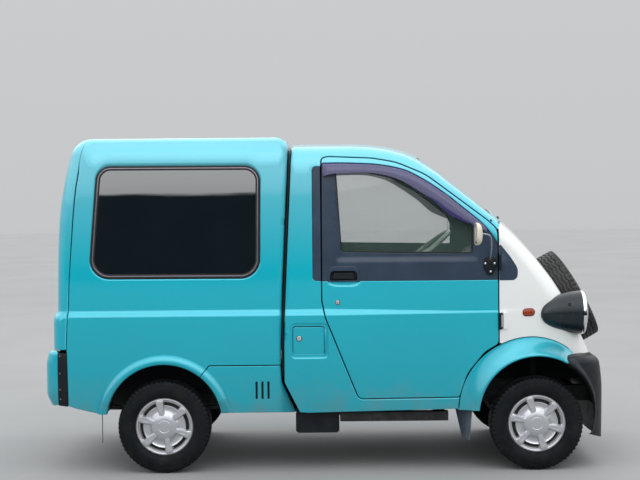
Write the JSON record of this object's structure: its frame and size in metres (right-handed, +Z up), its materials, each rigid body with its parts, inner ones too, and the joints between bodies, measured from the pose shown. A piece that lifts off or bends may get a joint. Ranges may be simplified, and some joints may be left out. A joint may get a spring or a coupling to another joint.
{
  "type": "kei truck",
  "caption": "Small box-bodied kei truck with a two-tone cab, closed load box with lift-up tailgate, round headlights and the spare wheel on its nose.",
  "frame": {"origin": "on the ground, under the middle of the overall box", "axes": "+X forward along the vehicle, +Y to the vehicle's left, +Z up"},
  "size_m": [2.8455, 1.62, 1.668],
  "materials": {
    "teal_paint": "metallic gloss",
    "white_paint": "gloss",
    "black_plastic": "grained",
    "chassis_black": "satin",
    "cast_metal": "rough cast",
    "steel": "plain",
    "silver_paint": "silver",
    "clear_glass": "clear",
    "dark_glass": "privacy tint",
    "lamp_glass": "fluted",
    "amber": "translucent",
    "tyre": "worn rubber",
    "rubber": "matt",
    "grey_fabric": "woven",
    "dash_plastic": "grained"
  },
  "bodies": {
    "chassis": {"cab_floor": "teal_paint", "cab_shell": "teal_paint", "cargo_floor": "chassis_black", "cargo_shell": "teal_paint", "cargo_side_glass": "dark_glass", "cross_members": "chassis_black", "dashboard": "dash_plastic", "engine": "cast_metal", "exhaust": "steel", "frame_rails": "chassis_black", "front_bumper": "black_plastic", "front_suspension": "chassis_black", "fuel_tank": "black_plastic", "headlight_pods": "black_plastic", "headlights": "lamp_glass", "hinge_pins": "black_plastic", "leaf_springs": "chassis_black", "mud_flaps": "rubber", "nose_cup": "white_paint", "nose_panel": "white_paint", "propshaft": "steel", "rear_axle": "cast_metal", "rear_bumper": "teal_paint", "rear_shocks": "chassis_black", "seat_backs": "grey_fabric", "seat_base": "chassis_black", "seat_cushions": "grey_fabric", "side_skirts": "teal_paint", "signal_lamps": "amber", "spare_carrier": "chassis_black", "spare_tyre": "tyre", "spare_wheel": "silver_paint", "steering_column": "dash_plastic", "towing_eye": "chassis_black", "wheel_arch_flares": "teal_paint", "wheel_liners": "black_plastic", "windscreen": "clear_glass", "wipers": "black_plastic"},
    "right_door": {"right_door": "teal_paint", "right_door_glass": "clear_glass", "right_mirror": "black_plastic"},
    "left_door": {"left_door": "teal_paint", "left_door_glass": "clear_glass", "left_mirror": "black_plastic"},
    "tailgate": {"tailgate": "teal_paint", "tailgate_glass": "dark_glass"},
    "fuel_lid": {"fuel_lid": "teal_paint"},
    "steering_wheel": {"steering_wheel": "dash_plastic"},
    "right_knuckle": {"right_knuckle": "cast_metal"},
    "left_knuckle": {"left_knuckle": "cast_metal"},
    "front_right_wheel": {"front_right_wheel": "silver_paint", "front_right_tyre": "tyre"},
    "front_left_wheel": {"front_left_wheel": "silver_paint", "front_left_tyre": "tyre"},
    "rear_right_wheel": {"rear_right_wheel": "silver_paint", "rear_right_tyre": "tyre"},
    "rear_left_wheel": {"rear_left_wheel": "silver_paint", "rear_left_tyre": "tyre"}
  },
  "joints": [
    {"name": "right_door_hinge", "type": "hinge", "parent": "chassis", "child": "right_door", "pos_m": [0.831, -0.614, 0.88], "axis": [0, 0, 1], "range_deg": [0, 65]},
    {"name": "left_door_hinge", "type": "hinge", "parent": "chassis", "child": "left_door", "pos_m": [0.831, 0.614, 0.88], "axis": [0, 0, -1], "range_deg": [0, 65]},
    {"name": "tailgate_hinge", "type": "hinge", "parent": "chassis", "child": "tailgate", "pos_m": [-1.204, 0, 1.664], "axis": [0, 1, 0], "range_deg": [0, 85]},
    {"name": "fuel_lid_hinge", "type": "hinge", "parent": "chassis", "child": "fuel_lid", "pos_m": [-0.031, -0.621, 0.65], "axis": [0, 0, 1], "range_deg": [0, 95]},
    {"name": "right_steer", "type": "hinge", "parent": "chassis", "child": "right_knuckle", "pos_m": [1.011, -0.445, 0.229], "axis": [0, 0, 1], "range_deg": [-35, 35]},
    {"name": "left_steer", "type": "hinge", "parent": "chassis", "child": "left_knuckle", "pos_m": [1.011, 0.445, 0.229], "axis": [0, 0, 1], "range_deg": [-35, 35]},
    {"name": "steering_wheel_turn", "type": "hinge", "parent": "chassis", "child": "steering_wheel", "pos_m": [0.465, -0.29, 1.06], "axis": [-0.6159, 0, 0.7878], "range_deg": [-595, 595]},
    {"name": "front_right_wheel_spin", "type": "hinge", "parent": "right_knuckle", "child": "front_right_wheel", "pos_m": [1.011, -0.549, 0.229], "axis": [0, 1, 0], "continuous": true},
    {"name": "front_left_wheel_spin", "type": "hinge", "parent": "left_knuckle", "child": "front_left_wheel", "pos_m": [1.011, 0.549, 0.229], "axis": [0, 1, 0], "continuous": true},
    {"name": "rear_right_wheel_spin", "type": "hinge", "parent": "chassis", "child": "rear_right_wheel", "pos_m": [-0.829, -0.549, 0.229], "axis": [0, 1, 0], "continuous": true},
    {"name": "rear_left_wheel_spin", "type": "hinge", "parent": "chassis", "child": "rear_left_wheel", "pos_m": [-0.829, 0.549, 0.229], "axis": [0, 1, 0], "continuous": true}
  ],
  "couplings": [
    {"joint": "left_steer", "follows": "right_steer", "ratio": 1},
    {"joint": "steering_wheel_turn", "follows": "right_steer", "ratio": 17}
  ]
}
